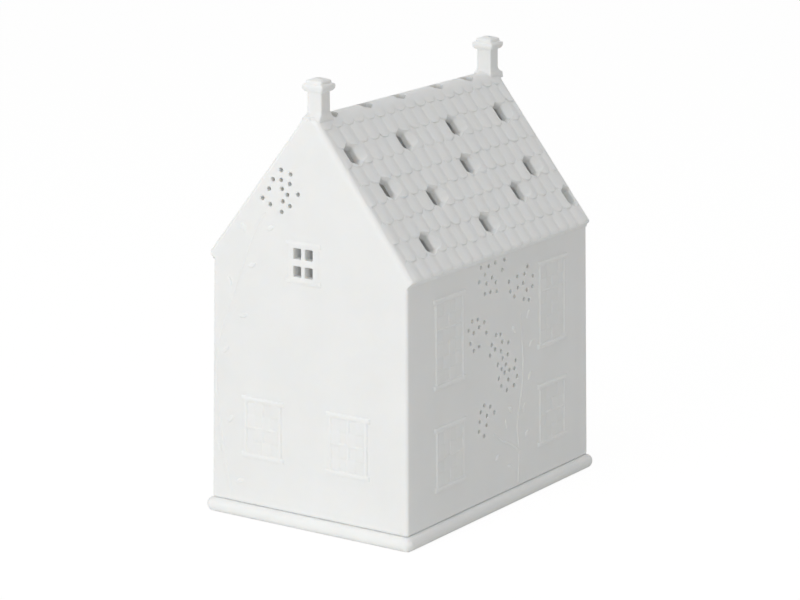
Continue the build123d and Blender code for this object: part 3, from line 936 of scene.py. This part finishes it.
hole_radius = 0.95 * MM
hole_lip = 0.35 * MM
hole_flare_shares = (1.06, 1.2, 1.3)
hole_sides = 18
pane_width = 4.1 * MM
pane_height = 4.8 * MM
pane_mullion = 2.0 * MM
pane_transom = 3.1 * MM
pane_lip = 0.25 * MM
pane_flare_shares = (1.03, 1.1, 1.15)
pane_face = 0.35 * MM
gable_pin_shares = [
    (-0.274, 1.401), (-0.179, 1.388), (-0.356, 1.359), (-0.274, 1.361), (-0.188, 1.349),
    (-0.396, 1.319), (-0.265, 1.326), (-0.211, 1.305), (-0.105, 1.312), (-0.463, 1.278),
    (-0.258, 1.276), (-0.187, 1.261), (-0.385, 1.257), (-0.269, 1.233),
]
side_pin_shares = [
    # under the eaves
    (-0.208, 0.983), (-0.125, 0.978), (-0.055, 0.984), (0.046, 0.983), (0.020, 0.943),
    (-0.165, 0.948), (-0.228, 0.926), (-0.090, 0.926), (-0.152, 0.910), (-0.048, 0.901),
    (-0.170, 0.869), (-0.108, 0.869), (-0.042, 0.864),
    # upper right
    (0.300, 0.921), (0.267, 0.892), (0.188, 0.893), (0.358, 0.871), (0.095, 0.883),
    (0.252, 0.856), (0.192, 0.846), (0.110, 0.840), (0.292, 0.822), (0.355, 0.829),
    (0.153, 0.813), (0.258, 0.788), (0.315, 0.777),
    # left
    (-0.307, 0.775), (-0.247, 0.775), (-0.177, 0.754), (-0.232, 0.742), (-0.345, 0.744),
    (-0.290, 0.725), (-0.155, 0.707), (-0.328, 0.687), (-0.232, 0.661), (-0.290, 0.652),
    # middle
    (-0.048, 0.682), (0.000, 0.677), (0.018, 0.643), (-0.097, 0.647), (0.085, 0.630),
    (-0.060, 0.623), (-0.117, 0.606), (0.002, 0.607), (0.078, 0.581), (0.022, 0.574),
    (-0.032, 0.555), (0.058, 0.542), (0.167, 0.543), (0.012, 0.530), (0.097, 0.513),
    (0.152, 0.511), (0.043, 0.510), (-0.020, 0.495), (0.083, 0.475), (0.182, 0.474),
    (0.005, 0.460), (0.147, 0.441), (0.067, 0.433),
    # lower left
    (-0.182, 0.408), (-0.117, 0.392), (-0.220, 0.385), (-0.153, 0.360), (-0.073, 0.361),
    (-0.232, 0.346), (-0.158, 0.321), (-0.240, 0.306), (-0.185, 0.279),
]


def flare(tool, lip, spreads, centre):
    """Draws a tool's outer face on in steps, each one wider, to round a rim."""
    make_active(tool)
    bpy.ops.object.mode_set(mode="EDIT")
    bpy.ops.mesh.select_mode(type="FACE")
    shape = bmesh.from_edit_mesh(tool.data)
    for face in shape.faces:
        face.select = face.normal.z > 0.9
    bmesh.update_edit_mesh(tool.data)
    for spread in spreads:
        bpy.ops.mesh.extrude_region_move(TRANSFORM_OT_translate={"value": (0, 0, lip)})
        bpy.ops.transform.resize(value=(spread, spread, 1), center_override=centre)
    bpy.ops.object.mode_set(mode="OBJECT")


def add_drills(shares, half, depth, turn, swap):
    """All the drills of one wall, their places swapped left and right where swap is -1."""
    deselect()
    bpy.ops.mesh.primitive_cylinder_add(vertices=hole_sides, radius=hole_radius, depth=2 * wall_thickness,
                                        location=(0, 0, -wall_thickness - hole_lip))
    drill = bpy.context.active_object
    bpy.ops.object.transform_apply(location=True)
    flare(drill, hole_lip / 2, hole_flare_shares, (0, 0, 0))
    drills = []
    for across, up in shares:
        copy = drill.copy()
        copy.data = drill.data.copy()
        bpy.context.collection.objects.link(copy)
        copy.data.transform(on_wall(swap * across * half, foot_z + up * wall_height, turn, depth))
        drills.append(copy)
    bpy.data.meshes.remove(drill.data)
    return join(drills, "drills")


attic_low, attic_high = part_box("front_attic_window")
attic_x, attic_z = (attic_low.x + attic_high.x) / 2, (attic_low.z + attic_high.z) / 2


def add_pane_cutters(turn):
    """The four pane openings of one attic window."""
    tools = []
    for side in (-1, 1):
        for level in (-1, 1):
            x, y = side * (pane_width + pane_mullion) / 2, level * (pane_height + pane_transom) / 2
            w, h = pane_width / 2, pane_height / 2
            low, high = (x - w, y - h, -2 * wall_thickness), (x + w, y + h, pane_face - pane_lip)
            pane = add_block("pane", low, high)
            bevel_edges(pane, pane_lip * 2, 3, lambda a, b: abs(a.z - b.z) > wall_thickness)
            flare(pane, pane_lip / 2, pane_flare_shares, (x, y, 0))
            pane.data.transform(on_wall(attic_x, attic_z, turn, half_length))
            tools.append(pane)
    return join(tools, "panes")


for turn in (0, 180):
    drills = add_drills(gable_pin_shares, half_width, half_length, turn, 1)
    cut(house, [drills, add_pane_cutters(turn)])
cut(house, [add_drills(side_pin_shares, half_length, half_width, 90, 1)])
cut(house, [add_drills(side_pin_shares, half_length, half_width, 270, -1)])
smooth(house, 60)
tealight_nodes = ("base_plate", "tealight_cup", "tealight_wax", "tealight_wick", "wick_tab")
house_nodes = [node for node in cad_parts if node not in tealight_nodes]
finish_piece(house, "house", "porcelain", porcelain, *house_nodes)


# Tealight cup
# A pressed aluminium cup, thin as foil, with shallow flutes from the press and
# a curled rim. It stands loose on the plate.

# Aluminium sheet, bright from the rollers and drawn up in the press. It shines
# like a blurred mirror, with fine upright streaks.
aluminium, tree, shader, place = new_material("pressed_aluminium")
shader.inputs["Base Color"].default_value = linear("DCDDDF")
shader.inputs["Metallic"].default_value = 1.0
# the streaks are some 0.4 mm apart
stretch = add_node(tree, "ShaderNodeMapping", {}, {"Vector": place, "Scale": (1, 1, 0.06)})
drawn = add_node(tree, "ShaderNodeTexNoise", {},
                 {"Vector": stretch.outputs["Vector"], "Scale": 1 / (0.4 * MM)})
rough = add_node(tree, "ShaderNodeMapRange", {},
                 {"Value": drawn.outputs["Fac"], "To Min": 0.22, "To Max": 0.42})
tree.links.new(rough.outputs["Result"], shader.inputs["Roughness"])
scratch = add_node(tree, "ShaderNodeBump", {},
                   {"Strength": 0.3, "Distance": 0.02 * MM, "Height": drawn.outputs["Fac"]})
tree.links.new(scratch.outputs["Normal"], shader.inputs["Normal"])

cup_low, cup_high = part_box("tealight_cup")
cup_wall = 0.35 * MM
rim_radius = 0.55 * MM
cup_flare = 0.4 * MM
cup_foot_round = 1.0 * MM
# the middle of the floor is pressed up by this, inside these radii
dish_rise = 0.25 * MM
dish_radius = 8.0 * MM
dish_foot_radius = 8.4 * MM
dish_inner_radius = 7.9 * MM
dish_inner_foot_radius = 8.2 * MM
cup_top = cup_high.z - rim_radius
cup_radius = cup_high.x - rim_radius + cup_wall / 2
flute_count = 72
flute_depth = 0.12 * MM
flute_top_share = 0.95
spin_weld = 0.002 * MM


def add_spun(name, profile, steps):
    """A round piece spun from a profile of (radius, height) points."""
    deselect()
    bpy.ops.mesh.primitive_plane_add(size=1)
    piece = bpy.context.active_object
    piece.name = name
    shape = bmesh.new()
    corners = [shape.verts.new((radius, 0, z)) for radius, z in profile]
    for a, b in zip(corners, corners[1:]):
        shape.edges.new((a, b))
    shape.to_mesh(piece.data)
    shape.free()
    bpy.ops.object.mode_set(mode="EDIT")
    bpy.ops.mesh.select_all(action="SELECT")
    bpy.ops.mesh.spin(steps=steps, angle=math.tau, center=(0, 0, 0), axis=(0, 0, 1))
    bpy.ops.mesh.select_all(action="SELECT")
    bpy.ops.mesh.remove_doubles(threshold=spin_weld)
    face_outwards()
    return piece


cup_floor = cup_low.z + cup_wall
cup_foot = cup_radius - cup_flare
cup_flat = cup_foot - cup_foot_round
side_bottom = cup_low.z + cup_foot_round
side_height = cup_top - side_bottom
outer = [(0, cup_low.z + dish_rise), (dish_radius, cup_low.z + dish_rise),
         (dish_foot_radius, cup_low.z), (cup_flat, cup_low.z)]
outer += [(cup_flat + cup_foot_round * math.sin(a), cup_low.z + cup_foot_round * (1 - math.cos(a)))
          for a in (0.4, 0.8, 1.2)]
outer += [(cup_foot + cup_flare * share, side_bottom + share * side_height)
          for share in (0.02, 0.1, 0.25, 0.4, 0.55, 0.7, 0.85, 0.93)]
curl = [(cup_radius - cup_wall / 2 - rim_radius * math.cos(a), cup_top + rim_radius * math.sin(a))
        for a in (3.9, 3.4, 2.8, 2.3, 1.8, 1.3, 0.8, 0.3, -0.2)]
inner = [(radius - cup_wall, max(z, cup_floor)) for radius, z in reversed(outer[4:])]
inner += [(dish_inner_foot_radius, cup_floor), (dish_inner_radius, cup_floor + dish_rise),
          (0, cup_floor + dish_rise)]
cup = add_spun("cup", outer + curl + inner, flute_count * 4)
for vertex in cup.data.vertices:
    radius = math.hypot(vertex.co.x, vertex.co.y)
    share = (vertex.co.z - side_bottom) / side_height
    if radius > cup_foot - 2 * cup_wall and 0 < share < flute_top_share:
        turn = math.atan2(vertex.co.y, vertex.co.x)
        dent = flute_depth * math.sin(math.pi * share) * (0.5 + 0.5 * math.cos(flute_count * turn))
        vertex.co.x *= 1 - dent / radius
        vertex.co.y *= 1 - dent / radius
smooth(cup, 50)
finish_piece(cup, "cup", "cup", aluminium, "tealight_cup")


# Tealight wax
# Paraffin pressed from powder, with a softened upper edge, and drawn up a
# little at the wick. It stands loose in its cup.

# White paraffin wax. Light goes a little way in, so that it looks cloudy, with a
# soft sheen and fine crystals at its surface.
paraffin, tree, shader, place = new_material("paraffin_wax")
mottle = add_node(tree, "ShaderNodeTexNoise", {}, {"Vector": place, "Scale": 1 / (3 * MM), "Detail": 3.0})
tint = add_node(tree, "ShaderNodeValToRGB", {}, {"Fac": mottle.outputs["Fac"]})
for element, tone in zip(tint.color_ramp.elements, ("EDEAE0", "F6F4EE")):
    element.color = linear(tone)
tree.links.new(tint.outputs["Color"], shader.inputs["Base Color"])
shader.inputs["Roughness"].default_value = 0.38
shader.inputs["IOR"].default_value = 1.44
shader.inputs["Subsurface Weight"].default_value = 0.3
shader.inputs["Subsurface Radius"].default_value = (2.5 * MM, 2.0 * MM, 1.5 * MM)
shader.inputs["Subsurface Scale"].default_value = 1.0
crystals = add_node(tree, "ShaderNodeTexVoronoi", {}, {"Vector": place, "Scale": 1 / (1.2 * MM)})
frost = add_node(tree, "ShaderNodeBump", {},
                 {"Strength": 0.15, "Distance": 0.05 * MM, "Height": crystals.outputs["Distance"]})
tree.links.new(frost.outputs["Normal"], shader.inputs["Normal"])

wax_low, wax_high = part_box("tealight_wax")
wick_low, wick_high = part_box("tealight_wick")
tab_low, tab_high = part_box("wick_tab")
wax_radius = wax_high.x
wick_radius = wick_high.x
tab_radius = tab_high.x
tab_thickness = wick_low.z - tab_low.z
neck_wall = 0.5 * MM
neck_radius = wick_radius + neck_wall
wax_edge = 0.9 * MM
# the upper face, how far from the wick and how far down, then its edge, how far
# in from the side and how far down
climb_steps = [(0, 0), (0.5 * MM, 0.12 * MM), (1.4 * MM, 0.3 * MM)]
edge_steps = [
    (wax_radius / 2, 0.36 * MM), (2.2 * MM, 0.28 * MM), (wax_edge, 0.2 * MM),
    (wax_edge * 0.3, 0.45 * MM), (0, wax_edge + 0.2 * MM),
]
wax_face = [(wick_radius + out, wax_high.z - down) for out, down in climb_steps]
wax_face += [(wax_radius - inset, wax_high.z - down) for inset, down in edge_steps]
wax = add_spun("wax", wax_face + [
    (wax_radius, wax_low.z + wax_edge), (wax_radius - wax_edge, wax_low.z), (tab_radius, wax_low.z),
    (tab_radius, wax_low.z + tab_thickness), (neck_radius, wax_low.z + tab_thickness),
    (neck_radius, tab_high.z), (wick_radius, tab_high.z), (wick_radius, wax_high.z),
], 96)
smooth(wax, 50)
finish_piece(wax, "candle", "wax", paraffin, "tealight_wax")


# Wick
# Three strands of cotton braided to a cord and waxed stiff, so that it stands up
# by itself. It is crimped into its tab, and the wax is pressed round both.

# Undyed cotton thread, primed with wax. It looks cream and a little fuzzy.
cotton, tree, shader, place = new_material("waxed_cotton")
fibres = add_node(tree, "ShaderNodeTexNoise", {}, {"Vector": place, "Scale": 1 / (0.3 * MM), "Detail": 4.0})
tint = add_node(tree, "ShaderNodeValToRGB", {}, {"Fac": fibres.outputs["Fac"]})
for element, tone in zip(tint.color_ramp.elements, ("D8D2C2", "F0ECE0")):
    element.color = linear(tone)
tree.links.new(tint.outputs["Color"], shader.inputs["Base Color"])
shader.inputs["Roughness"].default_value = 0.6
fuzz = add_node(tree, "ShaderNodeBump", {},
                {"Strength": 0.5, "Distance": 0.06 * MM, "Height": fibres.outputs["Fac"]})
tree.links.new(fuzz.outputs["Normal"], shader.inputs["Normal"])

braid_pitch = 2.4 * MM
braid_depth_share = 0.22
braid_lobes = 3
braid_rows = 90
deselect()
bpy.ops.mesh.primitive_cylinder_add(vertices=36, radius=wick_radius, depth=wick_high.z - wick_low.z,
                                    location=(0, 0, (wick_low.z + wick_high.z) / 2))
wick = bpy.context.active_object
wick.name = "wick"
bpy.ops.object.transform_apply(location=True)
bpy.ops.object.mode_set(mode="EDIT")
bpy.ops.mesh.select_all(action="DESELECT")
bpy.ops.mesh.select_mode(type="EDGE")
shape = bmesh.from_edit_mesh(wick.data)
uprights = [e for e in shape.edges if abs(e.verts[0].co.z - e.verts[1].co.z) > MM]
bmesh.ops.subdivide_edges(shape, edges=uprights, cuts=braid_rows)
bmesh.update_edit_mesh(wick.data)
bpy.ops.object.mode_set(mode="OBJECT")
for vertex in wick.data.vertices:
    x, y, z = vertex.co
    if z > wax_high.z:
        turn = math.atan2(y, x)
        lobes = abs(math.cos(braid_lobes / 2 * turn - math.pi * (z - wick_low.z) / braid_pitch))
        swell = 1 - braid_depth_share * (1 - lobes)
        vertex.co.x, vertex.co.y = x * swell, y * swell
smooth(wick, 60)
finish_piece(wick, "candle", "wick", cotton, "tealight_wick")


# Wick tab
# A stamped disc of tinned steel under the wax, with a crimped neck that holds
# the wick upright.

# Thin steel with a bright tin coat, whose crystals show as faint spangles.
tinplate, tree, shader, place = new_material("tinned_steel")
shader.inputs["Base Color"].default_value = linear("C9C9C6")
shader.inputs["Metallic"].default_value = 1.0
spangle = add_node(tree, "ShaderNodeTexVoronoi", {}, {"Vector": place, "Scale": 1 / (1.5 * MM)})
rough = add_node(tree, "ShaderNodeMapRange", {},
                 {"Value": spangle.outputs["Distance"], "To Min": 0.25, "To Max": 0.45})
tree.links.new(rough.outputs["Result"], shader.inputs["Roughness"])

tab_round = 0.1 * MM
neck_flare = 0.6 * MM
neck_foot = 0.5 * MM
neck_taper = 0.05 * MM
tab_top = tab_low.z + tab_thickness
tab = add_spun("tab", [
    (0, tab_low.z), (tab_radius - tab_round, tab_low.z), (tab_radius, tab_low.z + tab_thickness / 2),
    (tab_radius - tab_round, tab_top), (neck_radius + neck_flare, tab_top),
    (neck_radius, tab_top + neck_foot), (neck_radius - neck_taper, tab_high.z),
    (wick_radius, tab_high.z), (wick_radius, tab_top), (0, tab_top),
], 48)
smooth(tab, 50)
finish_piece(tab, "candle", "tab", tinplate, "wick_tab")


# Studio
# A white floor that shows a soft shadow, a pale surround, a large soft lamp in
# front, a weak one at the right and one above.

floor_size = 12
floor_glow = 1.05
floor_glow_share = 0.9
surround_light = 0.45


def seen_rays(tree):
    """The rays that show the surround itself: camera, glossy and transmission."""
    rays = add_node(tree, "ShaderNodeLightPath", {}, {}).outputs
    glossy = add_node(tree, "ShaderNodeMath", {"operation": "MAXIMUM"},
                      {0: rays["Is Camera Ray"], 1: rays["Is Glossy Ray"]})
    return add_node(tree, "ShaderNodeMath", {"operation": "MAXIMUM"},
                    {0: glossy.outputs["Value"], 1: rays["Is Transmission Ray"]}).outputs["Value"]


paper = bpy.data.materials.new("white_paper_floor")
paper.use_nodes = True
tree = paper.node_tree
tree.nodes.remove(tree.nodes["Principled BSDF"])
matt = add_node(tree, "ShaderNodeBsdfDiffuse", {}, {"Color": linear("F2F2F0")})
glow = add_node(tree, "ShaderNodeEmission", {}, {"Color": (1, 1, 1, 1), "Strength": floor_glow})
share = add_node(tree, "ShaderNodeMath", {"operation": "MULTIPLY"},
                 {0: seen_rays(tree), 1: floor_glow_share})
floor_mix = add_node(tree, "ShaderNodeMixShader", {},
                     {"Fac": share.outputs["Value"], 1: matt.outputs["BSDF"], 2: glow.outputs["Emission"]})
tree.links.new(floor_mix.outputs["Shader"], tree.nodes["Material Output"].inputs["Surface"])

deselect()
bpy.ops.mesh.primitive_plane_add(size=floor_size, location=(0, 0, 0))
floor = bpy.context.active_object
floor.name = "floor"
floor.data.materials.append(paper)

world = bpy.data.worlds.new("studio")
bpy.context.scene.world = world
world.use_nodes = True
tree = world.node_tree
strength = add_node(tree, "ShaderNodeMix", {"data_type": "FLOAT"},
                    {"Factor": seen_rays(tree), "A": surround_light, "B": 1.0})
tree.nodes["Background"].inputs["Color"].default_value = (1, 1, 1, 1)
tree.links.new(strength.outputs["Result"], tree.nodes["Background"].inputs["Strength"])

house_middle = Vector((0, 0, cad_high.z / 2))


def aim_at(name, data, middle, azimuth, elevation, distance):
    """Puts a lamp or the camera at a distance from a place, looking at it."""
    a, e = math.radians(azimuth), math.radians(elevation)
    back = Vector((math.sin(a) * math.cos(e), -math.cos(a) * math.cos(e), math.sin(e)))
    placed = bpy.data.objects.new(name, data)
    bpy.context.collection.objects.link(placed)
    placed.location = middle + back * distance
    placed.rotation_mode = "QUATERNION"
    placed.rotation_quaternion = (-back).to_track_quat("-Z", "Y")
    return placed


def add_lamp(name, azimuth, elevation, distance, size, power):
    """A square soft lamp that looks at the middle of the house."""
    data = bpy.data.lights.new(name, "AREA")
    data.shape = "SQUARE"
    data.size = size
    data.energy = power
    aim_at(name, data, house_middle, azimuth, elevation, distance)


add_lamp("key", azimuth=-4, elevation=10, distance=1.6, size=0.7, power=8.35)
add_lamp("fill", azimuth=75, elevation=8, distance=1.6, size=0.9, power=0.85)
add_lamp("top", azimuth=0, elevation=75, distance=1.6, size=1.0, power=4.9)

# porcelain passes some light through its walls, and a weak lamp inside stands in for that
inside_power = 0.0105
inside_radius = 20 * MM
inside = bpy.data.lights.new("light_through_the_walls", "POINT")
inside.energy = inside_power
inside.shadow_soft_size = inside_radius
glowing = bpy.data.objects.new("light_through_the_walls", inside)
bpy.context.collection.objects.link(glowing)
glowing.location = (0, -half_length / 3, eave_z)


# Camera
# A long lens from the front right corner, a little above the house, as the
# photograph was taken.

view_azimuth = 34.1
view_elevation = 14.02
view_distance = 1.3932
view_aim_z = 88.4 * MM
view_side_step = 1.88 * MM
lens_mm = 139.6
sensor_mm = 36

turn = math.radians(view_azimuth)
aside = Vector((math.cos(turn), math.sin(turn), 0)) * view_side_step
lens = bpy.data.cameras.new("camera")
lens.lens = lens_mm
lens.sensor_width = sensor_mm
lens.clip_start = 0.05
lens.clip_end = 50
camera = aim_at("camera", lens, Vector((0, 0, view_aim_z)) - aside, view_azimuth, view_elevation,
                view_distance)
bpy.context.scene.camera = camera
bpy.context.scene.view_settings.view_transform = "Standard"
